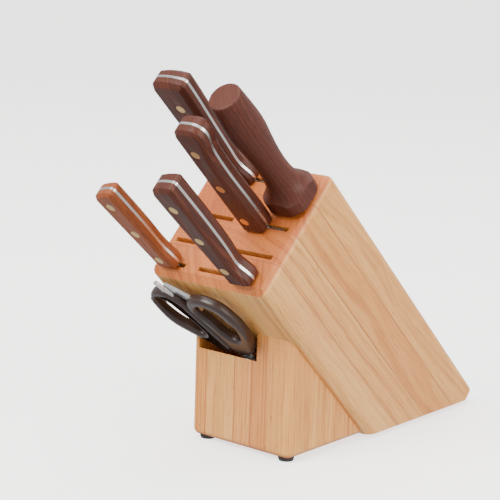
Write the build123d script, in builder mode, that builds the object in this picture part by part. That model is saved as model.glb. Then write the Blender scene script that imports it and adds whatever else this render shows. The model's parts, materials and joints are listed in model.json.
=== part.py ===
from build123d import *
import os
from dataclasses import dataclass
from math import atan2, cos, degrees, radians, sin, tan

os.makedirs("parts", exist_ok=True)

# Knife block with four knives, a sharpening steel and kitchen shears.
# The front, where the handles stand, faces -Y. Z = 0 is the surface that the feet rest on.

# ---------------------------------------------------------------- driving dimensions (mm)
block_width = 108.0
beam_thickness = 108.0
slope_angle = 44.3
deck_reach = 190.0          # seam foot to deck, measured up the slope
leg_depth = 92.0            # front of the leg to the seam foot
rear_land = 14.0            # height of the square rear end above the base, along the thickness
front_cut_setback = 5.0     # how far the upright front cut reaches along the deck
roundover = 6.35
leg_inset = 6.35            # the leg is narrower than the beam by this on each side
centre_x = 2.79              # the block's middle plane
leg_front_y = -57.77         # front face of the leg

slot_thickness = 3.6
front_row = 9.9             # slot mid-planes, measured from the underside of the beam
second_row = 30.4
middle_row = 55.2
rear_row = 92.5
front_slots = ((-49.5, -24.0), (-11.6, 39.8))
second_slots = ((-46.0, -5.0), (5.0, 44.4))
middle_slots = ((-44.0, -6.7), (6.5, 44.2))
rear_slots = ((-41.0, 3.2),)

foot_radius = 6.35
foot_height = 3.2
foot_taper = 0.9
foot_inset = 9.5
rear_foot_setback = 26.0
rear_foot_side_inset = 13.0
foot_screw_radius = 1.75
foot_screw_head_radius = 3.2
foot_screw_head_height = 1.6
foot_screw_length = 14.0
foot_web = 0.8              # rubber left between the screw head and the wood
foot_recess_play = 0.2

dowel_radius = 4.0
dowel_in_beam = 6.0
dowel_in_leg = 15.0
dowel_x = 30.0
dowel_stations = (38.0, 92.0)

pocket_depth = 15.0         # shears' pocket, measured square to the slope
pocket_left = -41.0
pocket_right = 15.0
front_stave_depth = 46.0
middle_stave_depth = 34.0

blade_thickness = 2.0        # blade and full tang are one plate
edge_thickness = 0.4
scale_clearance = 0.6       # handle end above the deck
neck_height = 4.0           # blade reaching up inside the handle
heel_drop = 1.5             # heel below the deck
neck_inset = 1.0
rivet_radius = 3.6

steel_x = 35.7
steel_row = 81.0
steel_radius = 6.0
steel_bore_clearance = 1.0
steel_length = 205.0
steel_bore_depth = 215.0
steel_handle_length = 115.0
steel_end_radius = 12.2
steel_waist_radius = 11.0
steel_swell_radius = 13.2
steel_guard_radius = 19.4
steel_guard_flat = 16.8
steel_waist_height = 33.0
steel_swell_height = 72.0
guard_edge = 2.0
guard_top = 13.5
guard_corner = 6.0
end_edge = 1.6
steel_tip_length = 9.0
steel_tip_taper = 28.0
steel_tang_radius = 4.0
steel_tang_length = 60.0
collar_radius = 8.6
collar_height = 2.4

shears_row = -8.0
shears_pivot_x = -5.0
shears_pivot_depth = 92.0   # pivot below the deck, along the slope
shears_lean = 7.0
shears_blade_thickness = 2.4
shears_blade_gap = 0.3
shears_handle_thickness = 8.4
shears_blade_length = 80.0
shears_pivot_radius = 2.6
shears_pivot_play = 0.05
shears_pivot_head_radius = 4.6
shears_pivot_head_height = 1.5
shears_nut_gap = 0.3
shears_nut_height = 1.6
shears_boss_radius = 8.4
shears_edge_round = 1.4

# ---------------------------------------------------------------- derived places
slope_sin = sin(radians(slope_angle))
slope_cos = cos(radians(slope_angle))
base_z = foot_height
seam_foot = Vector(centre_x, leg_front_y + leg_depth, base_z)
up_slope = Vector(0, -slope_cos, slope_sin)
through_beam = Vector(0, slope_sin, slope_cos)
rear_reach = (beam_thickness - rear_land) * slope_cos / slope_sin
side_plane = Plane(origin=seam_foot, x_dir=up_slope, z_dir=(-1, 0, 0))
leg_plane = Plane(origin=(centre_x, leg_front_y, base_z), x_dir=(0, 1, 0), z_dir=(1, 0, 0))
base_plane = Plane.XY.offset(base_z)
deck_centre = seam_foot + up_slope * deck_reach
front_cut_y = (deck_centre + through_beam * front_cut_setback).Y
beam_length = deck_reach + rear_reach
half_slot = slot_thickness / 2
leg_width = block_width - 2 * leg_inset
leg_height = leg_depth * tan(radians(slope_angle))
base_rear_y = seam_foot.Y + rear_reach * slope_cos + rear_reach * slope_sin * slope_sin / slope_cos
rear_stave_depth = leg_depth - front_stave_depth - middle_stave_depth
pocket_end = rear_stave_depth / slope_cos
pocket_reach = 2 * leg_depth / slope_cos
pocket_over = 5.0
foot_x = leg_width / 2 - foot_inset
rear_foot_x = block_width / 2 - rear_foot_side_inset
front_foot_y = leg_front_y + foot_inset
rear_foot_y = base_rear_y - rear_foot_setback
foot_places = ((centre_x - foot_x, front_foot_y), (centre_x + foot_x, front_foot_y),
               (centre_x - rear_foot_x, rear_foot_y), (centre_x + rear_foot_x, rear_foot_y))
foot_names = ("foot_front_left", "foot_front_right", "foot_rear_left", "foot_rear_right")
foot_taper_angle = degrees(atan2(foot_taper, foot_height))
dowel_plane = Plane(origin=seam_foot, x_dir=(1, 0, 0), z_dir=through_beam)


def row_plane(row, x=0.0, lean=0.0):
    """Plane through a slot row at the deck: x across the block, y up the slope, z to the front."""
    origin = deck_centre + through_beam * row + Vector(x, 0, 0)
    across = Vector(cos(radians(lean)), 0, 0) + up_slope * sin(radians(lean))
    return Plane(origin=origin, x_dir=across, z_dir=-through_beam)


# ---------------------------------------------------------------- the slanted beam
# One rounded blank; each lamination is a slice of it.
with BuildPart() as beam_blank:
    with BuildSketch(side_plane):
        with Locations(((deck_reach - rear_reach) / 2, beam_thickness / 2)):
            Rectangle(beam_length, beam_thickness)
    extrude(amount=block_width / 2, both=True)
    fillet(beam_blank.edges().filter_by(lambda e: abs(e.tangent_at(0.5).dot(up_slope)) > 0.999), roundover)
    fillet(beam_blank.faces().sort_by(Axis(seam_foot, up_slope))[-1].edges().filter_by(
        lambda e: e.center().dot(through_beam) > seam_foot.dot(through_beam) + 1), roundover * 0.9)
    split(bisect_by=base_plane, keep=Keep.TOP)
    split(bisect_by=Plane.XZ.offset(-front_cut_y), keep=Keep.BOTTOM)


# ---------------------------------------------------------------- dowels and foot screws
def dowel_holes():
    """Round sections of the dowels, seen square to the slope."""
    with BuildSketch() as holes:
        with Locations(*[(dowel_x, -station) for station in dowel_stations]):
            Circle(dowel_radius)
    return holes.sketch


with BuildPart() as leg_dowels:
    with BuildSketch(dowel_plane.offset(-dowel_in_leg)):
        add(dowel_holes())
    extrude(amount=dowel_in_leg + dowel_in_beam)

with BuildPart() as foot_screws:
    for x, y in foot_places:
        with BuildSketch(Plane.XY.offset(foot_height - foot_screw_head_height)):
            with Locations((x, y)):
                Circle(foot_screw_head_radius)
        extrude(amount=foot_screw_head_height - foot_web)
        with BuildSketch(Plane.XY.offset(foot_height - foot_web)):
            with Locations((x, y)):
                Circle(foot_screw_radius)
        extrude(amount=foot_screw_length)

# ---------------------------------------------------------------- laminations of the beam
def lamination(low, high):
    """Side outline of the slice of the beam between two depths."""
    with BuildSketch() as outline:
        with Locations(((deck_reach - rear_reach) / 2, (low + high) / 2)):
            Rectangle(beam_length, high - low)
    return outline.sketch


def slot_row(slots):
    """Openings of one slot row, seen down the slope: x across the block."""
    with BuildSketch() as openings:
        for left, right in slots:
            with Locations(((left + right) / 2, 0)):
                Rectangle(right - left, slot_thickness)
    return openings.sketch


with BuildPart() as front_board:
    add(beam_blank.part)
    with BuildSketch(side_plane):
        add(lamination(0, front_row - half_slot))
    extrude(amount=block_width, both=True, mode=Mode.INTERSECT)
    add(leg_dowels.part, mode=Mode.SUBTRACT)

with BuildPart() as front_spacers:
    add(beam_blank.part)
    with BuildSketch(side_plane):
        add(lamination(front_row - half_slot, front_row + half_slot))
    extrude(amount=block_width, both=True, mode=Mode.INTERSECT)
    with BuildSketch(Plane(origin=deck_centre + through_beam * front_row, x_dir=(1, 0, 0), z_dir=up_slope)):
        add(slot_row(front_slots))
    extrude(amount=beam_length, both=True, mode=Mode.SUBTRACT)

with BuildPart() as second_board:
    add(beam_blank.part)
    with BuildSketch(side_plane):
        add(lamination(front_row + half_slot, second_row - half_slot))
    extrude(amount=block_width, both=True, mode=Mode.INTERSECT)

with BuildPart() as second_spacers:
    add(beam_blank.part)
    with BuildSketch(side_plane):
        add(lamination(second_row - half_slot, second_row + half_slot))
    extrude(amount=block_width, both=True, mode=Mode.INTERSECT)
    with BuildSketch(Plane(origin=deck_centre + through_beam * second_row, x_dir=(1, 0, 0), z_dir=up_slope)):
        add(slot_row(second_slots))
    extrude(amount=beam_length, both=True, mode=Mode.SUBTRACT)

with BuildPart() as middle_board:
    add(beam_blank.part)
    with BuildSketch(side_plane):
        add(lamination(second_row + half_slot, middle_row - half_slot))
    extrude(amount=block_width, both=True, mode=Mode.INTERSECT)

with BuildPart() as middle_spacers:
    add(beam_blank.part)
    with BuildSketch(side_plane):
        add(lamination(middle_row - half_slot, middle_row + half_slot))
    extrude(amount=block_width, both=True, mode=Mode.INTERSECT)
    with BuildSketch(Plane(origin=deck_centre + through_beam * middle_row, x_dir=(1, 0, 0), z_dir=up_slope)):
        add(slot_row(middle_slots))
    extrude(amount=beam_length, both=True, mode=Mode.SUBTRACT)

with BuildPart() as steel_board:
    add(beam_blank.part)
    with BuildSketch(side_plane):
        add(lamination(middle_row + half_slot, rear_row - half_slot))
    extrude(amount=block_width, both=True, mode=Mode.INTERSECT)
    with BuildSketch(Plane(origin=deck_centre + through_beam * steel_row, x_dir=(1, 0, 0), z_dir=up_slope)):
        with Locations((steel_x, 0)):
            Circle(steel_radius + steel_bore_clearance)
    extrude(amount=-steel_bore_depth, mode=Mode.SUBTRACT)
    add(foot_screws.part, mode=Mode.SUBTRACT)

with BuildPart() as rear_spacers:
    add(beam_blank.part)
    with BuildSketch(side_plane):
        add(lamination(rear_row - half_slot, rear_row + half_slot))
    extrude(amount=block_width, both=True, mode=Mode.INTERSECT)
    with BuildSketch(Plane(origin=deck_centre + through_beam * rear_row, x_dir=(1, 0, 0), z_dir=up_slope)):
        add(slot_row(rear_slots))
    extrude(amount=beam_length, both=True, mode=Mode.SUBTRACT)

with BuildPart() as back_board:
    add(beam_blank.part)
    with BuildSketch(side_plane):
        add(lamination(rear_row + half_slot, beam_thickness))
    extrude(amount=block_width, both=True, mode=Mode.INTERSECT)

# ---------------------------------------------------------------- the wedge-shaped leg
with BuildPart() as leg_blank:
    with BuildSketch(leg_plane):
        with BuildLine():
            Polyline((0, 0), (leg_depth, 0), (0, leg_height), close=True)
        make_face()
    extrude(amount=leg_width / 2, both=True)
    fillet(leg_blank.edges().filter_by(Axis.Z).filter_by(lambda e: e.center().Y < leg_front_y + 1), roundover)
    fillet(leg_blank.faces().sort_by(Axis.Z)[0].edges().filter_by(
        lambda e: e.center().Y < seam_foot.Y - 1), roundover * 0.8)
    # Pocket for the shears' blades, open at the front under the beam.
    with BuildSketch(side_plane.offset(-pocket_right)):
        with BuildLine():
            Polyline((pocket_end, pocket_over), (pocket_reach, pocket_over), (pocket_reach, -pocket_depth),
                     (pocket_end - pocket_depth * slope_sin / slope_cos, -pocket_depth), close=True)
        make_face()
    extrude(amount=pocket_right - pocket_left, mode=Mode.SUBTRACT)


with BuildPart() as leg_front_stave:
    add(leg_blank.part)
    with BuildSketch(leg_plane):
        with Locations((front_stave_depth / 2, 0)):
            Rectangle(front_stave_depth, 3 * leg_height)
    extrude(amount=block_width, both=True, mode=Mode.INTERSECT)
    add(leg_dowels.part, mode=Mode.SUBTRACT)
    add(foot_screws.part, mode=Mode.SUBTRACT)

with BuildPart() as leg_middle_stave:
    add(leg_blank.part)
    with BuildSketch(leg_plane):
        with Locations((front_stave_depth + middle_stave_depth / 2, 0)):
            Rectangle(middle_stave_depth, 3 * leg_height)
    extrude(amount=block_width, both=True, mode=Mode.INTERSECT)
    add(leg_dowels.part, mode=Mode.SUBTRACT)

with BuildPart() as leg_rear_stave:
    add(leg_blank.part)
    with BuildSketch(leg_plane):
        with Locations((leg_depth, 0)):
            Rectangle(2 * rear_stave_depth, 3 * leg_height)
    extrude(amount=block_width, both=True, mode=Mode.INTERSECT)

# ---------------------------------------------------------------- feet
feet = {}
for name, (x, y) in zip(foot_names, foot_places):
    with BuildPart() as foot:
        with BuildSketch(Plane.XY.offset(foot_height)):
            with Locations((x, y)):
                Circle(foot_radius)
        extrude(amount=-foot_height, taper=foot_taper_angle)
        with Locations((x, y, 0)):
            Hole(foot_screw_radius, depth=4 * foot_height)
        with BuildSketch(Plane.XY):
            with Locations((x, y)):
                Circle(foot_screw_head_radius + foot_recess_play)
        extrude(amount=foot_height - foot_web, mode=Mode.SUBTRACT)
    feet[name] = foot.part

# ---------------------------------------------------------------- knives
@dataclass(frozen=True)
class Knife:
    """One knife, drawn in the plane of its slot: x towards the belly, y up from the deck."""

    row: float
    x: float
    lean: float
    spine_side: tuple[tuple[float, float], ...]
    belly_side: tuple[tuple[float, float], ...]
    butt_rise: float
    spine_corner: float
    belly_corner: float
    thickness: float
    facet: float
    rivet_x: float
    rivet_heights: tuple[float, ...]
    spine: float
    edge: float
    blade_length: float
    spine_straight: float
    edge_straight: float
    tip: float


knives = {
    "paring": Knife(
        row=front_row, x=-35.5, lean=6.0,
        spine_side=((-9.6, 1.9), (-10.4, 30.0), (-11.4, 62.0), (-12.0, 83.5)),
        belly_side=((7.4, 1.7), (8.2, 7.0), (6.9, 18.0), (7.8, 40.0), (8.8, 66.0), (8.8, 89.0)),
        butt_rise=1.6, spine_corner=5.5, belly_corner=3.4, thickness=13.4, facet=2.2, rivet_x=-1.2, rivet_heights=(12.0, 43.0, 74.0),
        spine=-7.6, edge=5.4, blade_length=88.0, spine_straight=50.0, edge_straight=36.0, tip=-3.6),
    "utility": Knife(
        row=front_row, x=29.0, lean=3.0,
        spine_side=((-5.6, 1.1), (-6.4, 26.0), (-8.0, 62.0), (-8.8, 107.4)),
        belly_side=((12.8, 1.1), (11.8, 8.6), (8.4, 16.5), (9.0, 28.0), (11.6, 54.0), (12.6, 80.0), (12.8, 110.5)),
        butt_rise=1.6, spine_corner=6.5, belly_corner=3.0, thickness=17.2, facet=2.6, rivet_x=1.4, rivet_heights=(19.0, 54.0, 89.0),
        spine=-4.6, edge=6.2, blade_length=128.0, spine_straight=60.0, edge_straight=70.0, tip=-0.5),
    "slicer": Knife(
        row=middle_row, x=17.5, lean=0.0,
        spine_side=((-9.4, 0.6), (-9.8, 40.0), (-10.0, 80.0), (-9.8, 113.6)),
        belly_side=((8.8, 0.6), (8.6, 40.0), (8.4, 80.0), (10.4, 92.0), (13.4, 101.0), (13.4, 114.4)),
        butt_rise=0.8, spine_corner=8.0, belly_corner=9.0, thickness=17.2, facet=2.6, rivet_x=-0.6, rivet_heights=(14.0, 52.0, 90.0),
        spine=-8.2, edge=22.0, blade_length=200.0, spine_straight=176.0, edge_straight=180.0, tip=7.0),
    "chef": Knife(
        row=rear_row, x=-19.0, lean=0.0,
        spine_side=((-17.6, 0.6), (-18.4, 40.0), (-19.2, 80.0), (-19.6, 111.5)),
        belly_side=((11.4, 0.6), (10.4, 8.0), (6.6, 17.0), (6.4, 30.0), (8.6, 62.0), (10.8, 90.0), (11.6, 112.0)),
        butt_rise=2.2, spine_corner=7.5, belly_corner=3.8, thickness=17.2, facet=3.4, rivet_x=-3.0, rivet_heights=(14.0, 51.0, 88.0),
        spine=-14.2, edge=20.5, blade_length=203.0, spine_straight=120.0, edge_straight=70.0, tip=-4.0),
}


def handle_outline(knife):
    """Closed outline of the handle."""
    spine_end = Vector(*knife.spine_side[-1])
    belly_end = Vector(*knife.belly_side[-1])
    butt_top = (spine_end + belly_end) / 2 + Vector(0, knife.butt_rise)
    with BuildSketch() as outline:
        with BuildLine():
            Spline(*knife.spine_side)
            ThreePointArc(spine_end, butt_top, belly_end)
            Spline(*knife.belly_side)
            Line(knife.spine_side[0], knife.belly_side[0])
        make_face()
        fillet(outline.vertices().sort_by(Axis.Y)[-2:].sort_by(Axis.X)[0], knife.spine_corner)
        fillet(outline.vertices().sort_by_distance(belly_end)[0], knife.belly_corner)
    return outline.sketch


def blade_outline(knife):
    """Closed outline of the blade below the deck, reaching up into the handle."""
    neck_belly = min(knife.edge, knife.belly_side[0][0]) - neck_inset
    with BuildSketch() as outline:
        with BuildLine():
            tip = (knife.tip, -knife.blade_length)
            Line((knife.spine, neck_height), (knife.spine, -knife.spine_straight))
            TangentArc((knife.spine, -knife.spine_straight), tip, tangent=(0, -1))
            TangentArc((knife.edge, -knife.edge_straight), tip, tangent=(0, -1))
            Polyline((knife.edge, -knife.edge_straight), (knife.edge, -heel_drop), (neck_belly, -heel_drop),
                     (neck_belly, neck_height), (knife.spine, neck_height))
        make_face()
    return outline.sketch


def rivet_circles(knife):
    """Round sections of the three rivets."""
    with BuildSketch() as circles:
        with Locations(*[(knife.rivet_x, height) for height in knife.rivet_heights]):
            Circle(rivet_radius)
    return circles.sketch


pieces = {}
for name, knife in knives.items():
    plane = row_plane(knife.row, knife.x, knife.lean)
    grind = degrees(atan2((blade_thickness - edge_thickness) / 2, knife.edge - knife.spine))
    with BuildPart() as rivets:
        with BuildSketch(plane):
            add(rivet_circles(knife))
        extrude(amount=knife.thickness / 2, both=True)
    with BuildPart() as blade:
        with BuildSketch(plane):
            add(blade_outline(knife))
        extrude(amount=blade_thickness / 2, both=True)
        for side in (-1, 1):
            edge_point = plane.from_local_coords((knife.edge, 0, side * edge_thickness / 2))
            normal = plane.from_local_coords((sin(radians(grind)), 0, side * cos(radians(grind)))) - plane.origin
            split(bisect_by=Plane(origin=edge_point, z_dir=normal), keep=Keep.BOTTOM)
        with BuildSketch(plane):
            add(handle_outline(knife))
        extrude(amount=blade_thickness / 2, both=True)
        add(rivets.part, mode=Mode.SUBTRACT)
    for part_name, side in (("front_scale", 1), ("rear_scale", -1)):
        with BuildPart() as scale:
            with BuildSketch(plane.offset(side * blade_thickness / 2)):
                add(handle_outline(knife))
            extrude(amount=side * (knife.thickness - blade_thickness) / 2)
            outer = scale.faces().sort_by(Axis(plane.origin, plane.z_dir * side))[-1]
            chamfer(outer.edges(), knife.facet)
            add(rivets.part, mode=Mode.SUBTRACT)
        pieces[f"{name}_{part_name}"] = scale.part
    pieces[f"{name}_blade"] = blade.part
    pieces[f"{name}_rivets"] = rivets.part

# ---------------------------------------------------------------- sharpening steel
steel_plane = row_plane(steel_row, steel_x)
steel_axis_plane = Plane(origin=steel_plane.origin, x_dir=(1, 0, 0), z_dir=up_slope)
steel_side_plane = Plane(origin=steel_plane.origin, x_dir=(1, 0, 0), z_dir=-through_beam)

with BuildPart() as steel_rod:
    with BuildSketch(steel_axis_plane):
        Circle(steel_radius)
    extrude(amount=-(steel_length - steel_tip_length))
    with BuildSketch(steel_axis_plane.offset(-(steel_length - steel_tip_length))):
        Circle(steel_radius)
    extrude(amount=-steel_tip_length, taper=steel_tip_taper)
    with BuildSketch(steel_axis_plane):
        Circle(steel_radius)
    extrude(amount=scale_clearance + collar_height)
    with BuildSketch(steel_axis_plane):
        Circle(steel_tang_radius)
    extrude(amount=scale_clearance + collar_height + steel_tang_length)

with BuildPart() as steel_collar:
    with BuildSketch(steel_axis_plane.offset(scale_clearance)):
        Circle(collar_radius)
        Circle(steel_radius, mode=Mode.SUBTRACT)
    extrude(amount=collar_height)

with BuildPart() as steel_handle:
    with BuildSketch(steel_side_plane):
        with BuildLine():
            foot_level = scale_clearance + collar_height
            Line((0, foot_level), (steel_guard_radius - guard_edge, foot_level))
            RadiusArc((steel_guard_radius - guard_edge, foot_level), (steel_guard_radius, foot_level + guard_edge),
                      -guard_edge)
            Line((steel_guard_radius, foot_level + guard_edge), (steel_guard_radius, guard_top))
            Spline((steel_guard_radius, guard_top), (steel_waist_radius, steel_waist_height),
                   (steel_swell_radius, steel_swell_height), (steel_end_radius, steel_handle_length - end_edge),
                   tangents=((-1, 0.6), (-0.08, 1)))
            RadiusArc((steel_end_radius, steel_handle_length - end_edge),
                      (steel_end_radius - end_edge, steel_handle_length), -end_edge)
            Polyline((steel_end_radius - end_edge, steel_handle_length), (0, steel_handle_length), (0, foot_level))
        make_face()
    revolve(axis=Axis(steel_plane.origin, up_slope))
    with BuildSketch(steel_axis_plane):
        RectangleRounded(2 * steel_guard_flat, 2 * steel_guard_flat, guard_corner)
    extrude(amount=2 * steel_handle_length, both=True, mode=Mode.INTERSECT)
    with BuildSketch(steel_axis_plane):
        Circle(steel_tang_radius)
    extrude(amount=scale_clearance + collar_height + steel_tang_length, mode=Mode.SUBTRACT)

# ---------------------------------------------------------------- kitchen shears
# Drawn about the pivot: x across, y up along the handles, z to the front.
shears_origin = deck_centre - up_slope * shears_pivot_depth + through_beam * shears_row + Vector(shears_pivot_x, 0, 0)
shears_across = Vector(cos(radians(shears_lean)), 0, 0) + up_slope * sin(radians(shears_lean))
shears_plane = Plane(origin=shears_origin, x_dir=shears_across, z_dir=-through_beam)
blade_front = shears_plane.offset(shears_blade_gap / 2)
blade_rear = shears_plane.offset(-shears_blade_gap / 2)
half_handle = shears_handle_thickness / 2


def shears_blade_outline(side):
    """One blade with its shank up to the handle; side is -1 for the left handle's blade."""
    with BuildSketch() as outline:
        with BuildLine():
            tip = (-side * 1.2, -shears_blade_length)
            Polyline((side * 2.4, 16.0), (side * 0.4, 9.0), (-side * 8.4, 3.0), (-side * 8.6, -6.0))
            Spline((-side * 8.6, -6.0), (-side * 6.4, -46.0), tip)
            Polyline(tip, (side * 3.4, -shears_blade_length * 0.9), (side * 4.6, -8.0), (side * 9.0, 6.0),
                     (side * 8.8, 16.0), (side * 2.4, 16.0))
        make_face()
    return outline.sketch


def left_tang():
    """Strip through the left handle that ends as a blunt prong."""
    with BuildSketch() as outline:
        with BuildLine():
            Polyline((-8.8, 15.0), (-3.6, 15.0), (-13.6, 72.0), (-21.4, 97.8), (-24.9, 97.0), (-22.4, 88.5),
                     (-20.6, 88.0), (-17.9, 71.0), close=True)
        make_face()
    return outline.sketch


def right_tang():
    """Strip through the right handle that ends as a tapered tongue."""
    with BuildSketch() as outline:
        with BuildLine():
            Polyline((1.0, 15.0), (7.0, 15.0), (-3.0, 60.0), (-1.6, 77.0), (-19.6, 92.6), (-21.6, 91.0),
                     (-8.6, 74.0), (-7.6, 60.0), close=True)
        make_face()
    return outline.sketch


def left_bow():
    """Outline of the left handle with its finger hole."""
    with BuildSketch() as outline:
        with BuildLine():
            Spline((-3.6, 17.0), (-4.4, 30.0), (-7.8, 52.0), (-11.4, 73.0), (-19.0, 84.0), (-31.0, 87.0),
                   (-42.4, 79.5), (-47.2, 62.0), (-45.4, 46.0), (-37.6, 36.5), (-24.0, 25.0), (-10.0, 13.5),
                   periodic=True)
        make_face()
        with BuildLine():
            Spline((-36.6, 78.6), (-29.0, 76.0), (-22.0, 61.0), (-17.0, 45.0), (-19.0, 34.0), (-30.0, 38.5),
                   (-39.0, 50.0), (-41.2, 66.0), periodic=True)
        make_face(mode=Mode.SUBTRACT)
    return outline.sketch


def right_bow():
    """Outline of the right handle with its finger hole."""
    with BuildSketch() as outline:
        with BuildLine():
            Spline((-1.6, 18.0), (-2.6, 30.0), (-6.0, 52.0), (-9.0, 71.0), (-4.0, 79.0), (7.0, 82.0), (18.0, 79.6),
                   (26.0, 73.0), (30.4, 60.0), (30.8, 48.0), (28.6, 37.0), (23.4, 25.4), (17.0, 15.5), (6.0, 13.0),
                   periodic=True)
        make_face()
        with BuildLine():
            Spline((-2.4, 69.0), (8.0, 74.0), (18.0, 70.0), (23.6, 60.0), (23.4, 49.0), (19.4, 38.0), (11.0, 32.6),
                   (4.4, 37.0), (1.0, 52.0), periodic=True)
        make_face(mode=Mode.SUBTRACT)
    return outline.sketch


with BuildPart() as shears_left_blade:
    with BuildSketch(blade_front):
        add(shears_blade_outline(-1))
        Circle(shears_boss_radius)
        add(left_tang())
    extrude(amount=shears_blade_thickness)
    with BuildSketch(blade_front):
        Circle(shears_pivot_radius)
    extrude(amount=shears_blade_thickness, mode=Mode.SUBTRACT)

with BuildPart() as shears_right_blade:
    with BuildSketch(blade_rear):
        add(shears_blade_outline(1))
        Circle(shears_boss_radius)
        add(right_tang())
    extrude(amount=-shears_blade_thickness)
    with BuildSketch(blade_rear):
        Circle(shears_pivot_radius + shears_pivot_play)
    extrude(amount=-shears_blade_thickness, mode=Mode.SUBTRACT)

with BuildPart() as shears_left_handle:
    with BuildSketch(shears_plane.offset(-half_handle)):
        add(left_bow())
    extrude(amount=shears_handle_thickness)
    fillet(shears_left_handle.edges().filter_by(lambda e: e.length > shears_handle_thickness * 2), shears_edge_round)
    add(shears_left_blade.part, mode=Mode.SUBTRACT)

with BuildPart() as shears_right_handle:
    with BuildSketch(shears_plane.offset(-half_handle)):
        add(right_bow())
    extrude(amount=shears_handle_thickness)
    fillet(shears_right_handle.edges().filter_by(lambda e: e.length > shears_handle_thickness * 2), shears_edge_round)
    add(shears_right_blade.part, mode=Mode.SUBTRACT)

with BuildPart() as shears_pivot:
    with BuildSketch(blade_front.offset(shears_blade_thickness)):
        Circle(shears_pivot_head_radius)
    extrude(amount=shears_pivot_head_height)
    with BuildSketch(blade_front.offset(shears_blade_thickness)):
        Circle(shears_pivot_radius)
    extrude(amount=-(2 * shears_blade_thickness + shears_blade_gap + shears_nut_gap + shears_nut_height))

with BuildPart() as shears_nut:
    with BuildSketch(blade_rear.offset(-shears_blade_thickness - shears_nut_gap)):
        Circle(shears_pivot_head_radius)
        Circle(shears_pivot_radius, mode=Mode.SUBTRACT)
    extrude(amount=-shears_nut_height)

# ---------------------------------------------------------------- one file for each piece
pieces.update(feet)
pieces.update({
    "front_board": front_board.part,
    "front_spacers": front_spacers.part,
    "second_board": second_board.part,
    "second_spacers": second_spacers.part,
    "middle_board": middle_board.part,
    "middle_spacers": middle_spacers.part,
    "steel_board": steel_board.part,
    "rear_spacers": rear_spacers.part,
    "back_board": back_board.part,
    "leg_front_stave": leg_front_stave.part,
    "leg_middle_stave": leg_middle_stave.part,
    "leg_rear_stave": leg_rear_stave.part,
    "leg_dowels": leg_dowels.part,
    "foot_screws": foot_screws.part,
    "steel_rod": steel_rod.part,
    "steel_collar": steel_collar.part,
    "steel_handle": steel_handle.part,
    "shears_left_blade": shears_left_blade.part,
    "shears_right_blade": shears_right_blade.part,
    "shears_left_handle": shears_left_handle.part,
    "shears_right_handle": shears_right_handle.part,
    "shears_pivot": shears_pivot.part,
    "shears_nut": shears_nut.part,
})
for name, piece in pieces.items():
    piece.label = name
    export_step(piece, f"parts/{name}.step")
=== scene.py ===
"""Looks of a slanted wood knife block with its knives, sharpening steel and shears."""

from __future__ import annotations

import json
import logging
import math
from dataclasses import dataclass, field

import bmesh
import bpy
from mathutils import Matrix, Vector


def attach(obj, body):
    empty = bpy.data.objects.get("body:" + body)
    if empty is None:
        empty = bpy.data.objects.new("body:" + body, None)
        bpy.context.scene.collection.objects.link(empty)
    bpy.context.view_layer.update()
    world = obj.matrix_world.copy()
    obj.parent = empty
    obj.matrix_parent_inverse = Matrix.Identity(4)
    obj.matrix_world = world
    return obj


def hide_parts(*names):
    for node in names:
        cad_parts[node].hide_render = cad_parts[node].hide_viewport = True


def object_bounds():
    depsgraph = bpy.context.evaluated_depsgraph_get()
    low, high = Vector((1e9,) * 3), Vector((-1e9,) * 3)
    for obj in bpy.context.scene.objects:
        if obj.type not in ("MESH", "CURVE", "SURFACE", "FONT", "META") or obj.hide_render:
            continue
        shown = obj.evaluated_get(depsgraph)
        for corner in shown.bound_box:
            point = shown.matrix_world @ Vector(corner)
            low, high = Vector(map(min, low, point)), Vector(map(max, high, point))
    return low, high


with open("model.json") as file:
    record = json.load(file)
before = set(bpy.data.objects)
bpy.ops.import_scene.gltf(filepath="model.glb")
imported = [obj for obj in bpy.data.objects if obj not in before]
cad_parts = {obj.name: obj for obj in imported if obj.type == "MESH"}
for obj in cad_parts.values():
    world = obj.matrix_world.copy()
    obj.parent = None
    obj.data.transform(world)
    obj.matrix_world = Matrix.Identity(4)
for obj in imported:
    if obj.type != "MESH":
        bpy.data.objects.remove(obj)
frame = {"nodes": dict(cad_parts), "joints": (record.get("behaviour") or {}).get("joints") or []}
CAD_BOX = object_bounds()

LOG = logging.getLogger("knife_block")
Colour = tuple[float, float, float]
MM = 0.001
ACROSS = Vector((1.0, 0.0, 0.0))
UP_SLOPE = next(Vector(joint["axis"]) for joint in frame["joints"] if joint["name"] == "slicer_slide")
THROUGH_BEAM = UP_SLOPE.cross(ACROSS)
UPRIGHT = Vector((0.0, 0.0, 1.0))
BACKWARD = Vector((0.0, 1.0, 0.0))


def srgb(red: int, green: int, blue: int) -> Colour:
    """Turns a colour of 0 to 255 steps into the linear values that a shader takes.

    Args:
        red: Red step.
        green: Green step.
        blue: Blue step.

    Returns:
        The linear colour.
    """
    def linear(step: int) -> float:
        """One channel, from its step to its linear value."""
        share = step / 255.0
        return share / 12.92 if share <= 0.04045 else ((share + 0.055) / 1.055) ** 2.4

    return linear(red), linear(green), linear(blue)


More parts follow.
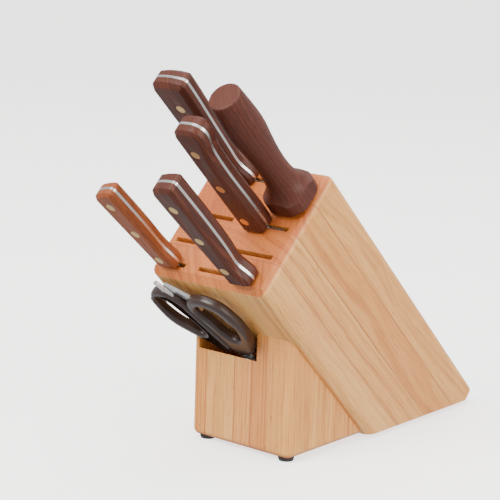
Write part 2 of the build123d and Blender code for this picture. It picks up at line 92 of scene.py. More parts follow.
class Graph:
    """A material's node tree, with a short call for each kind of node that the finishes use."""

    def __init__(self, name: str) -> None:
        """Starts an empty material.

        Args:
            name: The material's name.
        """
        self.material = bpy.data.materials.new(name)
        self.material.use_nodes = True
        self.nodes = self.material.node_tree.nodes
        self.links = self.material.node_tree.links
        self.nodes.clear()
        self.shader = self.nodes.new("ShaderNodeBsdfPrincipled")
        self.output = self.nodes.new("ShaderNodeOutputMaterial")
        self.links.new(self.shader.outputs["BSDF"], self.output.inputs["Surface"])
        self.place = self.nodes.new("ShaderNodeTexCoord")

    def feed(self, socket: bpy.types.NodeSocket, value: object) -> None:
        """Links a socket to another, or sets it to a constant."""
        if isinstance(value, bpy.types.NodeSocket):
            self.links.new(value, socket)
        else:
            socket.default_value = value

    def math(self, operation: str, first: object, second: object = 0.0,
             third: object = 0.0) -> bpy.types.NodeSocket:
        """Adds a Math node.

        Args:
            operation: The node's operation.
            first: First value or socket.
            second: Second value or socket.
            third: Third value or socket.

        Returns:
            The result's socket.
        """
        node = self.nodes.new("ShaderNodeMath")
        node.operation = operation
        for socket, value in zip(node.inputs, (first, second, third)):
            self.feed(socket, value)
        return node.outputs[0]

    def dot(self, vector: object, axis: Vector) -> bpy.types.NodeSocket:
        """The length of a vector socket along an axis."""
        node = self.nodes.new("ShaderNodeVectorMath")
        node.operation = "DOT_PRODUCT"
        self.feed(node.inputs[0], vector)
        node.inputs[1].default_value = axis
        return node.outputs["Value"]

    def vector(self, x: object, y: object, z: object) -> bpy.types.NodeSocket:
        """Joins three values to one vector socket."""
        node = self.nodes.new("ShaderNodeCombineXYZ")
        for socket, value in zip(node.inputs, (x, y, z)):
            self.feed(socket, value)
        return node.outputs[0]

    def noise(self, vector: object, scale: float, detail: float = 2.0,
              roughness: float = 0.5) -> bpy.types.NodeSocket:
        """Adds a 3-D noise and returns its value from 0 to 1.

        Args:
            vector: Where the noise is read.
            scale: Waves per metre.
            detail: Number of finer octaves.
            roughness: Strength of each finer octave.

        Returns:
            The noise's socket.
        """
        node = self.nodes.new("ShaderNodeTexNoise")
        self.feed(node.inputs["Vector"], vector)
        node.inputs["Scale"].default_value = scale
        node.inputs["Detail"].default_value = detail
        node.inputs["Roughness"].default_value = roughness
        return node.outputs["Fac"]

    def ramp(self, value: object, stops: tuple[tuple[float, Colour], ...], constant: bool = False
             ) -> bpy.types.NodeSocket:
        """Adds a colour ramp.

        Args:
            value: Where the ramp is read, from 0 to 1.
            stops: Place and colour of each stop.
            constant: True for steps with hard edges.

        Returns:
            The colour's socket.
        """
        node = self.nodes.new("ShaderNodeValToRGB")
        self.feed(node.inputs[0], value)
        node.color_ramp.interpolation = "CONSTANT" if constant else "LINEAR"
        elements = node.color_ramp.elements
        while len(elements) < len(stops):
            elements.new(1.0)
        for element, (at, colour) in zip(elements, stops):
            element.position = at
            element.color = (*colour, 1.0)
        return node.outputs["Color"]

    def mix(self, share: object, first: object, second: object, blend: str = "MIX") -> bpy.types.NodeSocket:
        """Mixes two colours.

        Args:
            share: How much of the second colour, from 0 to 1.
            first: First colour.
            second: Second colour.
            blend: The node's blend type.

        Returns:
            The mixed colour's socket.
        """
        node = self.nodes.new("ShaderNodeMix")
        node.data_type = "RGBA"
        node.blend_type = blend
        self.feed(node.inputs[0], share)
        for socket, value in ((node.inputs[6], first), (node.inputs[7], second)):
            self.feed(socket, (*value, 1.0) if isinstance(value, tuple) else value)
        return node.outputs[2]

    def spread(self, value: object, low: float, high: float, to_low: float = 0.0, to_high: float = 1.0
               ) -> bpy.types.NodeSocket:
        """Maps a range of values to another, held at its ends."""
        node = self.nodes.new("ShaderNodeMapRange")
        for socket, number in zip(node.inputs, (value, low, high, to_low, to_high)):
            self.feed(socket, number)
        return node.outputs[0]

    def bump(self, height: object, depth: float, strength: float = 1.0) -> None:
        """Gives the shader a bumped normal.

        Args:
            height: Height from 0 to 1.
            depth: Depth of the relief in metres.
            strength: Share of the relief that shows.
        """
        node = self.nodes.new("ShaderNodeBump")
        node.inputs["Distance"].default_value = depth
        node.inputs["Strength"].default_value = strength
        self.feed(node.inputs["Height"], height)
        self.links.new(node.outputs["Normal"], self.shader.inputs["Normal"])


@dataclass(frozen=True)
class Stave:
    """One stave of a glued panel: where it starts through the panel, and its tone."""

    start: float
    tone: Colour


@dataclass(frozen=True)
class Hardwood:
    """Pale lacquered hardwood glued up from staves, with fine dark pores and growth rings."""

    name: str
    grain: Vector
    through: Vector
    across: Vector
    staves: tuple[Stave, ...]
    light: Colour = srgb(244, 192, 116)
    middle: Colour = srgb(232, 168, 92)
    dark: Colour = srgb(190, 124, 62)
    end_tone: Colour = srgb(214, 132, 68)
    pore: Colour = srgb(132, 72, 38)
    glue: Colour = srgb(160, 82, 42)
    ring_scale: float = 430.0
    glue_width: float = 0.8 * MM
    figure: float = 1.0
    panel: float = 0.3
    pith_distance: float = 0.11
    wander: float = 0.014
    fibre_scale: float = 1500.0
    pore_scale: float = 1150.0

    def build(self) -> bpy.types.Material:
        """Makes the material.

        Returns:
            The finished material.
        """
        graph = Graph(self.name)
        point = graph.place.outputs["Object"]
        along = graph.dot(point, self.grain)
        deep = graph.dot(point, self.through)
        wide = graph.dot(point, self.across)
        first = self.staves[0].start
        position = graph.spread(deep, first, first + self.panel)
        stops = tuple((max(0.0, (stave.start - first) / self.panel), stave.tone) for stave in self.staves)
        tone = graph.ramp(position, stops, constant=True)
        shift = graph.dot(tone, Vector((7.0, 3.0, 5.0)))
        # Growth rings: an uneven stack of shells round a far-off pith, bent by slow waves along the grain.
        drawn_out = graph.vector(graph.math("MULTIPLY", along, 0.25), graph.math("ADD", deep, shift), wide)
        slow = graph.noise(drawn_out, 22.0, 2.0)
        bend = graph.math("MULTIPLY", graph.math("SUBTRACT", slow, 0.5), self.wander * self.figure)
        side = graph.math("ADD", wide, graph.math("SUBTRACT", graph.math("FRACT", shift), 0.15))
        pith = graph.math("ADD", deep, self.pith_distance)
        side_square = graph.math("POWER", graph.math("ABSOLUTE", side), 2.0)
        pith_square = graph.math("POWER", graph.math("ABSOLUTE", pith), 2.0)
        radius = graph.math("SQRT", graph.math("ADD", side_square, pith_square))
        shell = graph.math("ADD", radius, bend)
        rings = graph.noise(graph.vector(graph.math("MULTIPLY", shell, self.ring_scale), shift, 0.0),
                            1.0, 3.0, 0.62)
        # Fibres and pores, drawn out along the grain.
        fine = graph.vector(graph.math("MULTIPLY", along, 0.022), deep, wide)
        fibres = graph.noise(fine, self.fibre_scale, 3.0, 0.6)
        dash = graph.vector(graph.math("MULTIPLY", along, 0.09), deep, wide)
        ticks = graph.noise(dash, self.pore_scale, 1.0)
        pores = graph.spread(ticks, 0.69, 0.76)
        patches = graph.noise(graph.vector(graph.math("MULTIPLY", along, 0.35), deep, wide), 24.0, 2.0)
        grain = graph.math("ADD", graph.math("MULTIPLY", rings, 0.52), graph.math("MULTIPLY", fibres, 0.48))
        colour = graph.ramp(grain, ((0.36, self.dark), (0.49, self.middle), (0.62, self.light)))
        colour = graph.mix(0.85, colour, graph.mix(1.0, colour, tone, "MULTIPLY"))
        colour = graph.mix(graph.spread(patches, 0.35, 0.75, 0.0, 0.30), colour, self.end_tone)
        colour = graph.mix(graph.math("MULTIPLY", pores, 0.60), colour, self.pore)
        # Cut across the grain, the wood drinks the lacquer and turns redder; this darkening also carries
        # painted shade on the top deck and the front band.
        facing = graph.math("ABSOLUTE", graph.dot(graph.place.outputs["Normal"], self.grain))
        end_grain_and_shade = graph.spread(facing, 0.40, 0.72, 0.0, 0.9)
        colour = graph.mix(end_grain_and_shade, colour, graph.mix(1.0, colour, srgb(214, 158, 124), "MULTIPLY"))
        # Glue lines between staves.
        line = None
        for stave in self.staves[1:]:
            near = graph.math("ABSOLUTE", graph.math("SUBTRACT", deep, stave.start))
            mark = graph.spread(near, self.glue_width * 0.35, self.glue_width, 1.0, 0.0)
            line = mark if line is None else graph.math("MAXIMUM", line, mark)
        if line is not None:
            colour = graph.mix(graph.math("MULTIPLY", line, 0.55), colour, self.glue)
        graph.feed(graph.shader.inputs["Base Color"], colour)
        graph.feed(graph.shader.inputs["Roughness"], graph.spread(fibres, 0.25, 0.75, 0.40, 0.54))
        graph.shader.inputs["Specular IOR Level"].default_value = 0.42
        graph.shader.inputs["Coat Weight"].default_value = 0.12
        graph.shader.inputs["Coat Roughness"].default_value = 0.35
        relief = graph.math("SUBTRACT", graph.math("MULTIPLY", fibres, 0.5),
                            graph.math("MULTIPLY", pores, 0.8))
        graph.bump(relief, 0.08 * MM, 0.8)
        return graph.material


@dataclass(frozen=True)
class Walnut:
    """Dark oiled handle wood with straight, fine grain along the handle."""

    name: str
    grain: Vector
    offset: float
    light: Colour = srgb(108, 55, 34)
    middle: Colour = srgb(78, 35, 20)
    dark: Colour = srgb(46, 19, 11)
    pore: Colour = srgb(28, 12, 8)
    ring_scale: float = 430.0
    fibre_scale: float = 2300.0
    pore_scale: float = 1700.0

    def build(self) -> bpy.types.Material:
        """Makes the material.

        Returns:
            The finished material.
        """
        graph = Graph(self.name)
        point = graph.place.outputs["Object"]
        along = graph.dot(point, self.grain)
        deep = graph.math("ADD", graph.dot(point, THROUGH_BEAM), self.offset)
        wide = graph.dot(point, ACROSS)
        slow = graph.noise(graph.vector(graph.math("MULTIPLY", along, 0.25), deep, wide), 38.0, 2.0)
        sheet = graph.math("ADD", wide, graph.math("MULTIPLY", deep, 0.7))
        shell = graph.math("ADD", sheet, graph.math("MULTIPLY", slow, 0.016))
        rings = graph.noise(graph.vector(graph.math("MULTIPLY", shell, self.ring_scale), self.offset, 0.0),
                            1.0, 3.0, 0.6)
        fine = graph.vector(graph.math("MULTIPLY", along, 0.03), deep, wide)
        fibres = graph.noise(fine, self.fibre_scale, 3.0, 0.62)
        dash = graph.vector(graph.math("MULTIPLY", along, 0.07), deep, wide)
        pores = graph.spread(graph.noise(dash, self.pore_scale, 1.0), 0.66, 0.74)
        grain = graph.math("ADD", graph.math("MULTIPLY", rings, 0.6), graph.math("MULTIPLY", fibres, 0.4))
        colour = graph.ramp(grain, ((0.32, self.dark), (0.50, self.middle), (0.68, self.light)))
        patches = graph.noise(graph.vector(graph.math("MULTIPLY", along, 0.4), deep, wide), 42.0, 2.0)
        colour = graph.mix(graph.spread(patches, 0.35, 0.7, 0.0, 0.45), colour, self.middle)
        colour = graph.mix(graph.math("MULTIPLY", pores, 0.5), colour, self.pore)
        facing = graph.math("ABSOLUTE", graph.dot(graph.place.outputs["Normal"], self.grain))
        colour = graph.mix(graph.spread(facing, 0.5, 0.98, 0.0, 0.35), colour, self.middle)
        graph.feed(graph.shader.inputs["Base Color"], colour)
        graph.feed(graph.shader.inputs["Roughness"], graph.spread(fibres, 0.25, 0.75, 0.42, 0.58))
        graph.shader.inputs["Specular IOR Level"].default_value = 0.28
        graph.shader.inputs["Coat Weight"].default_value = 0.04
        graph.shader.inputs["Coat Roughness"].default_value = 0.30
        relief = graph.math("SUBTRACT", graph.math("MULTIPLY", fibres, 0.5),
                            graph.math("MULTIPLY", pores, 0.9))
        graph.bump(relief, 0.09 * MM, 0.8)
        return graph.material


@dataclass(frozen=True)
class BrushedMetal:
    """Steel or brass with fine scratches that run along one direction."""

    name: str
    along: Vector
    colour: Colour
    shade: Colour
    roughness: float = 0.30
    scratches: float = 2600.0

    def build(self) -> bpy.types.Material:
        """Makes the material.

        Returns:
            The finished material.
        """
        graph = Graph(self.name)
        point = graph.place.outputs["Object"]
        run = graph.dot(point, self.along)
        squeezed = graph.nodes.new("ShaderNodeVectorMath")
        squeezed.operation = "SUBTRACT"
        graph.feed(squeezed.inputs[0], point)
        drop = graph.nodes.new("ShaderNodeVectorMath")
        drop.operation = "SCALE"
        drop.inputs[0].default_value = self.along
        graph.feed(drop.inputs["Scale"], graph.math("MULTIPLY", run, 0.97))
        graph.feed(squeezed.inputs[1], drop.outputs[0])
        lines = graph.noise(squeezed.outputs[0], self.scratches, 3.0, 0.6)
        cloud = graph.noise(point, 60.0, 3.0, 0.55)
        graph.feed(graph.shader.inputs["Base Color"],
                   graph.mix(graph.spread(cloud, 0.35, 0.7, 0.0, 0.6), self.colour, self.shade))
        graph.shader.inputs["Metallic"].default_value = 1.0
        graph.feed(graph.shader.inputs["Roughness"],
                   graph.spread(lines, 0.2, 0.8, self.roughness - 0.08, self.roughness + 0.12))
        graph.bump(lines, 0.012 * MM, 0.7)
        return graph.material


@dataclass(frozen=True)
class Moulded:
    """Moulded plastic or rubber with a fine spark-eroded grain and worn, paler patches."""

    name: str
    colour: Colour
    worn: Colour
    roughness: float
    texture: float
    depth: float

    def build(self) -> bpy.types.Material:
        """Makes the material.

        Returns:
            The finished material.
        """
        graph = Graph(self.name)
        point = graph.place.outputs["Object"]
        skin = graph.noise(point, self.texture, 3.0, 0.6)
        cloud = graph.noise(point, 45.0, 4.0, 0.6)
        specks = graph.spread(graph.noise(point, 900.0, 1.0), 0.64, 0.74)
        colour = graph.mix(graph.spread(cloud, 0.35, 0.75, 0.0, 0.55), self.colour, self.worn)
        colour = graph.mix(graph.math("MULTIPLY", specks, 0.22), colour, self.worn)
        graph.feed(graph.shader.inputs["Base Color"], colour)
        graph.feed(graph.shader.inputs["Roughness"],
                   graph.spread(cloud, 0.3, 0.7, self.roughness - 0.05, self.roughness + 0.08))
        graph.shader.inputs["Specular IOR Level"].default_value = 0.5
        graph.bump(skin, self.depth, 0.8)
        return graph.material


@dataclass(frozen=True)
class Backdrop:
    """Smooth painted board of the studio floor and wall."""

    name: str
    colour: Colour
    roughness: float = 0.62
    glow: float = 1.7

    def build(self) -> bpy.types.Material:
        """Makes the material.

        Returns:
            The finished material.
        """
        graph = Graph(self.name)
        cloud = graph.noise(graph.place.outputs["Object"], 3.0, 2.0)
        shade = tuple(channel * 0.985 for channel in self.colour)
        graph.feed(graph.shader.inputs["Base Color"], graph.mix(cloud, self.colour, shade))
        graph.shader.inputs["Roughness"].default_value = self.roughness
        graph.shader.inputs["Specular IOR Level"].default_value = 0.2
        graph.shader.inputs["Emission Color"].default_value = (1.0, 0.995, 0.98, 1.0)
        graph.shader.inputs["Emission Strength"].default_value = self.glow
        return graph.material


@dataclass(frozen=True)
class Span:
    """How far a node reaches along one direction."""

    low: float
    high: float

    @property
    def middle(self) -> float:
        """Half-way between the two ends."""
        return (self.low + self.high) / 2.0


def span(node: str, direction: Vector) -> Span:
    """Measures a CAD node along a direction.

    Args:
        node: The node's name.
        direction: A unit vector.

    Returns:
        Its lowest and highest places along that direction.
    """
    places = [vertex.co.dot(direction) for vertex in frame["nodes"][node].data.vertices]
    return Span(min(places), max(places))


def dress(node: str, material: bpy.types.Material) -> None:
    """Gives a CAD node a material, in every slot that it has."""
    mesh = frame["nodes"][node].data
    if not mesh.materials:
        mesh.materials.append(material)
    for index in range(len(mesh.materials)):
        mesh.materials[index] = material


def finish_piece(shape: bmesh.types.BMesh, name: str, material: bpy.types.Material, body: str, slot: str,
                 *nodes: str, crease: float = 32.0) -> bpy.types.Object:
    """Turns a bmesh into a finished piece that rides on a body.

    Args:
        shape: The mesh, in the frame's own place. It is freed.
        name: The piece's name.
        material: Its material.
        body: The body that it rides on.
        slot: Name of a material slot in the record; not used.
        nodes: CAD nodes that it stands for.
        crease: Edges sharper than this many degrees stay sharp.

    Returns:
        The piece.
    """
    mesh = bpy.data.meshes.new(name)
    shape.to_mesh(mesh)
    shape.free()
    mesh.materials.append(material)
    mesh.shade_smooth()
    mesh.set_sharp_from_angle(angle=math.radians(crease))
    piece = bpy.data.objects.new(name, mesh)
    bpy.context.scene.collection.objects.link(piece)
    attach(piece, body)
    if nodes:
        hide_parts(*nodes)
    LOG.info("%s: %d faces on %s", name, len(mesh.polygons), body)
    return piece


def softened_copy(node: str, radius: float, angle: float = 28.0, segments: int = 3,
                  seam: Vector | None = None) -> bmesh.types.BMesh:
    """Copies a CAD node's mesh and rounds its sharp edges over.

    Args:
        node: The node to copy.
        radius: Radius of the rounded edges.
        angle: Edges sharper than this many degrees are rounded.
        segments: Faces across each rounded edge.
        seam: Outward direction of a glued face, whose edges stay sharp.

    Returns:
        The rounded mesh.
    """
    shape = bmesh.new()
    shape.from_mesh(frame["nodes"][node].data)
    bmesh.ops.remove_doubles(shape, verts=shape.verts, dist=0.002 * MM)
    bmesh.ops.dissolve_limit(shape, angle_limit=math.radians(0.5), verts=shape.verts, edges=shape.edges)
    shape.normal_update()
    sharp = [edge for edge in shape.edges
             if len(edge.link_faces) == 2 and edge.calc_face_angle(0.0) > math.radians(angle)
             and not (seam and any(face.normal.dot(seam) > 0.99 for face in edge.link_faces))]
    bmesh.ops.bevel(shape, geom=sharp, offset=radius, offset_type="OFFSET", affect="EDGES",
                    segments=segments, profile=0.5, material=-1, clamp_overlap=True)
    return shape


@dataclass
class Block:
    """The slanted beam, glued to its front leg and standing on four feet."""

    beam_nodes: tuple[str, ...] = ("front_board", "front_spacers", "second_board", "second_spacers",
                                   "middle_board", "middle_spacers", "steel_board", "rear_spacers",
                                   "back_board")
    leg_nodes: tuple[str, ...] = ("leg_front_stave", "leg_middle_stave", "leg_rear_stave")
    feet: tuple[str, ...] = ("foot_front_left", "foot_front_right", "foot_rear_left", "foot_rear_right")

    def beam_finish(self) -> Hardwood:
        """The beam's wood: four staves, with grain along the slope."""
        face = span("front_board", THROUGH_BEAM).low
        staves = (Stave(face, srgb(255, 250, 245)), Stave(face + 26.0 * MM, srgb(250, 240, 228)),
                  Stave(face + 52.0 * MM, srgb(240, 216, 190)),
                  Stave(face + 80.0 * MM, srgb(250, 238, 222)))
        return Hardwood("beam_wood", UP_SLOPE, THROUGH_BEAM, ACROSS, staves)

    def leg_finish(self) -> Hardwood:
        """The leg's wood: narrow upright staves side by side."""
        side = CAD_BOX[0][0]
        staves = (Stave(side, srgb(250, 222, 184)), Stave(side + 26.0 * MM, srgb(255, 244, 230)),
                  Stave(side + 54.0 * MM, srgb(250, 228, 214)),
                  Stave(side + 70.0 * MM, srgb(240, 206, 186)),
                  Stave(side + 84.0 * MM, srgb(255, 240, 220)))
        return Hardwood("leg_wood", UPRIGHT, ACROSS, BACKWARD, staves, ring_scale=950.0, figure=0.3)

    def dress(self) -> None:
        """Gives every piece of the block its finish."""
        beam = self.beam_finish().build()
        leg = self.leg_finish().build()
        rubber = Moulded("foot_rubber", srgb(38, 34, 31), srgb(60, 55, 50), 0.62, 1400.0, 0.05 * MM).build()
        zinc = BrushedMetal("screw_steel", UPRIGHT, srgb(200, 200, 198), srgb(168, 168, 166), 0.32).build()
        dowel = Hardwood("dowel_wood", THROUGH_BEAM, UP_SLOPE, ACROSS,
                         (Stave(0.0, srgb(255, 250, 240)),)).build()
        for node in self.beam_nodes:
            dress(node, beam)
        for node in self.leg_nodes:
            dress(node, leg)
        for node in self.feet:
            dress(node, rubber)
        dress("foot_screws", zinc)
        dress("leg_dowels", dowel)
        LOG.info("block: %d pieces", len(self.beam_nodes) + len(self.leg_nodes) + len(self.feet) + 2)


@dataclass
class Knife:
    """One kitchen knife: a full tang between two walnut scales, held by brass rivets."""

    name: str
    lean: float
    grain_offset: float
    edge_radius: float = 1.0 * MM
    paler: bool = False

    @property
    def grain(self) -> Vector:
        """Direction of the handle's length."""
        lean = math.radians(self.lean)
        return UP_SLOPE * math.cos(lean) - ACROSS * math.sin(lean)

    def walnut(self) -> Walnut:
        """The handle's wood. One handle is a paler, more orange piece than the others."""
        if self.paler:
            return Walnut(f"{self.name}_walnut", self.grain, self.grain_offset, light=srgb(172, 95, 47),
                          middle=srgb(140, 70, 32), dark=srgb(92, 42, 19), pore=srgb(62, 28, 13))
        return Walnut(f"{self.name}_walnut", self.grain, self.grain_offset)

    def build(self) -> None:
        """Rounds the scales' edges over and gives every piece its finish."""
        walnut = self.walnut().build()
        for side in ("front_scale", "rear_scale"):
            node = f"{self.name}_{side}"
            inward = span(f"{self.name}_blade", THROUGH_BEAM).middle - span(node, THROUGH_BEAM).middle
            shape = softened_copy(node, self.edge_radius, seam=THROUGH_BEAM * math.copysign(1.0, inward))
            finish_piece(shape, f"{self.name}_{side}_rounded", walnut, self.name, "walnut", node)
        dress(f"{self.name}_blade", BrushedMetal(f"{self.name}_steel", THROUGH_BEAM, srgb(214, 212, 208),
                                                  srgb(188, 186, 182), 0.26).build())
        dress(f"{self.name}_rivets", BrushedMetal(f"{self.name}_brass", self.grain, srgb(222, 184, 120),
                                                  srgb(196, 156, 96), 0.30, 1800.0).build())
        LOG.info("%s knife built", self.name)


@dataclass
class SharpeningSteel:
    """The round sharpening steel with its turned walnut handle."""

    edge_radius: float = 0.9 * MM
    grain_offset: float = 0.37

    def build(self) -> None:
        """Rounds the handle's edges over and gives every piece its finish."""
        walnut = Walnut("steel_walnut", UP_SLOPE, self.grain_offset, light=srgb(112, 58, 37),
                        middle=srgb(82, 37, 22), dark=srgb(50, 21, 13)).build()
        shape = softened_copy("steel_handle", self.edge_radius)
        finish_piece(shape, "steel_handle_rounded", walnut, "steel", "walnut", "steel_handle")
        ribbed = BrushedMetal("rod_steel", UP_SLOPE, srgb(190, 190, 190), srgb(150, 150, 150),
                              roughness=0.34, scratches=1500.0).build()
        dress("steel_rod", ribbed)
        dress("steel_collar", ribbed)
        LOG.info("sharpening steel built")


@dataclass(frozen=True)
class Bow:
    """One moulded handle of the shears, in millimetres from the pivot: x across, y up the handles."""

    side: str
    outer: tuple[tuple[float, float], ...]
    hole: tuple[tuple[float, float], ...]


LEFT_BOW = Bow(
    "left",
    ((-3.6, 17.0), (-4.4, 30.0), (-7.8, 52.0), (-11.4, 73.0), (-19.0, 84.0), (-31.0, 87.0),
     (-42.4, 79.5), (-47.2, 62.0), (-45.4, 46.0), (-37.6, 36.5), (-24.0, 25.0), (-10.0, 13.5)),
    ((-36.6, 78.6), (-29.0, 76.5), (-22.0, 61.0), (-17.0, 45.0), (-19.0, 34.5), (-30.0, 40.5),
     (-39.0, 51.0), (-41.4, 66.0)))
RIGHT_BOW = Bow(
    "right",
    ((-1.6, 18.0), (-2.6, 30.0), (-6.0, 52.0), (-9.0, 71.0), (-4.0, 79.0), (7.0, 82.0), (18.0, 79.6),
     (26.0, 73.0), (30.4, 60.0), (30.8, 48.0), (28.6, 37.0), (23.4, 25.4), (17.0, 15.5), (6.0, 13.0)),
    ((-2.4, 68.0), (7.0, 73.5), (15.5, 71.0), (20.0, 64.5), (20.4, 58.0), (23.2, 51.5), (22.2, 45.0),
     (20.4, 39.5), (16.4, 33.4), (10.4, 32.0), (5.0, 37.0), (1.6, 52.0)))


@dataclass
class Shears:
    """Kitchen shears: two steel blades on a pivot with moulded handles."""

    thickness: float = 8.4
    round_over: float = 3.1
    clearance: float = 0.12

    def __post_init__(self) -> None:
        """Takes the shears' own directions from their two joints."""
        joints = {joint["name"]: joint for joint in frame["joints"]}
        self.pivot = Vector(joints["shears_open"]["pos_m"])
        self.back = Vector(joints["shears_open"]["axis"]).normalized()
        self.up = Vector(joints["shears_slide"]["axis"]).normalized()
        self.across = self.back.cross(self.up)

    def placement(self) -> Matrix:
        """The matrix from the shears' own millimetres to the frame's metres."""
        turn = Matrix((self.across, self.up, -self.back)).transposed().to_4x4()
        return Matrix.Translation(self.pivot) @ turn @ Matrix.Scale(MM, 4)

    def handle(self, bow: Bow, plastic: bpy.types.Material) -> bpy.types.Object:
        """Moulds one handle: its outline and finger hole, thick and well rounded.

        Args:
            bow: The handle's outline.
            plastic: Its material.

        Returns:
            The handle.
        """
        curve = bpy.data.curves.new(f"{bow.side}_bow", "CURVE")
        curve.dimensions = "2D"
        curve.fill_mode = "BOTH"
        curve.resolution_u = 8
        curve.bevel_depth = self.round_over
        curve.bevel_resolution = 5
        curve.offset = -self.round_over - self.clearance
        curve.extrude = self.thickness / 2 - self.round_over
        for points in (bow.outer, tuple(reversed(bow.hole))):
            spline = curve.splines.new("BEZIER")
            spline.bezier_points.add(len(points) - 1)
            spline.use_cyclic_u = True
            for knot, place in zip(spline.bezier_points, points):
                knot.co = (*place, 0.0)
                knot.handle_left_type = "AUTO"
                knot.handle_right_type = "AUTO"
        drawing = bpy.data.objects.new(f"{bow.side}_bow_drawing", curve)
        bpy.context.scene.collection.objects.link(drawing)
        mesh = bpy.data.meshes.new_from_object(drawing.evaluated_get(bpy.context.evaluated_depsgraph_get()))
        bpy.data.objects.remove(drawing)
        shape = bmesh.new()
        shape.from_mesh(mesh)
        bpy.data.meshes.remove(mesh)
        bmesh.ops.remove_doubles(shape, verts=shape.verts, dist=0.01)
        bmesh.ops.recalc_face_normals(shape, faces=shape.faces)
        bmesh.ops.transform(shape, matrix=self.placement(), verts=shape.verts)
        node = f"shears_{bow.side}_handle"
        return finish_piece(shape, f"{node}_moulded", plastic, f"shears_{bow.side}", "shears_plastic", node,
                            crease=60.0)

    def build(self) -> None:
        """Moulds both handles and gives every piece its finish."""
        plastic = Moulded("shears_plastic", srgb(50, 33, 27), srgb(66, 49, 41), roughness=0.33,
                          texture=1300.0, depth=0.03 * MM).build()
        steel = BrushedMetal("shears_steel", self.across, srgb(214, 214, 212), srgb(190, 190, 186),
                             roughness=0.28).build()
        for bow in (LEFT_BOW, RIGHT_BOW):
            self.handle(bow, plastic)
        for node in ("shears_left_blade", "shears_right_blade", "shears_pivot", "shears_nut"):
            dress(node, steel)
        LOG.info("shears built")


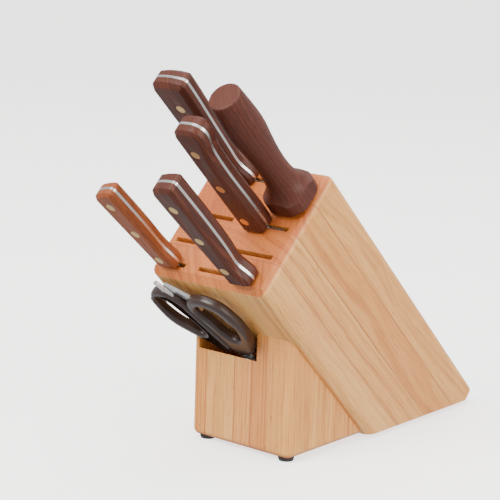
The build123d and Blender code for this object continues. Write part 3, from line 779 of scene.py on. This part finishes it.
@dataclass
class Studio:
    """Pale floor and wall in one sweep, with soft lights and the camera."""

    lens: float = 126.2
    azimuth: float = 39.36
    elevation: float = 11.75
    roll: float = 1.81
    sensor_width: float = 36.0
    clip_end: float = 50.0
    key_power: float = 82.0
    top_power: float = 50.0
    fill_power: float = 64.0
    air_strength: float = 0.95
    camera_place: Vector = field(default_factory=lambda: Vector((0.79899, -1.02187, 0.4134)))

    def sweep(self) -> None:
        """Builds the floor that curves up into a wall behind the object."""
        shape = bmesh.new()
        near, far, height, half = -6.0, 5.0, 6.0, 9.0
        corner_reach, corner_steps = 2.5, 24
        corners = [shape.verts.new(place) for place in
                   ((-half, near, 0), (-half, far, 0), (-half, far, height))]
        for pair in zip(corners, corners[1:]):
            shape.edges.new(pair)
        bmesh.ops.bevel(shape, geom=[corners[1]], offset=corner_reach, affect="VERTICES",
                        segments=corner_steps, profile=0.5, material=-1)
        sides = bmesh.ops.extrude_edge_only(shape, edges=list(shape.edges))
        moved = [item for item in sides["geom"] if isinstance(item, bmesh.types.BMVert)]
        bmesh.ops.translate(shape, verts=moved, vec=(2 * half, 0, 0))
        turn = Matrix.Rotation(math.radians(self.azimuth), 4, "Z")
        bmesh.ops.transform(shape, matrix=turn, verts=shape.verts)
        bmesh.ops.recalc_face_normals(shape, faces=shape.faces)
        mesh = bpy.data.meshes.new("sweep")
        shape.to_mesh(mesh)
        shape.free()
        mesh.shade_smooth()
        mesh.materials.append(Backdrop("sweep_paint", srgb(246, 244, 240)).build())
        sweep = bpy.data.objects.new("sweep", mesh)
        bpy.context.scene.collection.objects.link(sweep)
        sweep.visible_diffuse = False
        sweep.visible_glossy = False

    def light(self, name: str, place: Vector, target: Vector, size: float, power: float,
              tint: Colour) -> None:
        """Adds one soft light.

        Args:
            name: The light's name.
            place: Where it hangs.
            target: What it faces.
            size: Side of its square in metres.
            power: Its power in watts.
            tint: Its colour.
        """
        data = bpy.data.lights.new(name, "AREA")
        data.shape = "SQUARE"
        data.size = size
        data.energy = power
        data.color = tint
        lamp = bpy.data.objects.new(name, data)
        lamp.location = place
        lamp.rotation_euler = (target - place).to_track_quat("-Z", "Y").to_euler()
        bpy.context.scene.collection.objects.link(lamp)

    def axes(self) -> tuple[Vector, Vector, Vector]:
        """The camera's right, up and backward directions."""
        turn, rise, roll = (math.radians(angle) for angle in (self.azimuth, self.elevation, self.roll))
        right = Vector((math.cos(turn), math.sin(turn), 0.0))
        back = Vector((math.sin(turn) * math.cos(rise), -math.cos(turn) * math.cos(rise), math.sin(rise)))
        up = back.cross(right)
        rolled_right = right * math.cos(roll) + up * math.sin(roll)
        rolled_up = up * math.cos(roll) - right * math.sin(roll)
        return rolled_right, rolled_up, back

    def camera(self) -> None:
        """Sets the camera."""
        right, up, back = self.axes()
        data = bpy.data.cameras.new("camera")
        data.lens = self.lens
        data.sensor_width = self.sensor_width
        data.clip_end = self.clip_end
        camera = bpy.data.objects.new("camera", data)
        turn = Matrix((right, up, back)).transposed().to_4x4()
        camera.matrix_world = Matrix.Translation(self.camera_place) @ turn
        bpy.context.scene.collection.objects.link(camera)
        bpy.context.scene.camera = camera

    def build(self) -> None:
        """Builds the floor, the lights, the world and the camera."""
        self.sweep()
        self.camera()
        right, up, back = self.axes()
        middle = Vector((0.0, 0.0, 0.15))
        key = middle + back * 1.2 - right * 1.5 + UPRIGHT * 1.5
        top = middle + UPRIGHT * 2.2 + BACKWARD * 0.3
        fill = middle + back * 1.6 + right * 2.0 + UPRIGHT * 0.5
        self.light("key", key, middle, 1.1, self.key_power, (1.0, 0.98, 0.95))
        self.light("top", top, middle, 2.2, self.top_power, (1.0, 1.0, 1.0))
        self.light("fill", fill, middle, 1.8, self.fill_power, (1.0, 0.97, 0.93))
        world = bpy.data.worlds.new("studio_air")
        world.use_nodes = True
        air = world.node_tree.nodes["Background"]
        air.inputs["Color"].default_value = (0.95, 0.97, 1.0, 1.0)
        air.inputs["Strength"].default_value = self.air_strength
        bpy.context.scene.world = world
        LOG.info("studio built")


def main() -> None:
    """Builds the object's sub-assemblies in order, then the studio round them."""
    logging.basicConfig(level=logging.INFO, format="%(name)s: %(message)s")
    Block().dress()
    for knife in (Knife("paring", 6.0, 0.11, paler=True), Knife("utility", 3.0, 0.23),
                  Knife("slicer", 0.0, 0.05), Knife("chef", 0.0, 0.31)):
        knife.build()
    SharpeningSteel().build()
    Shears().build()
    Studio().build()


if __name__ == "__main__":
    main()
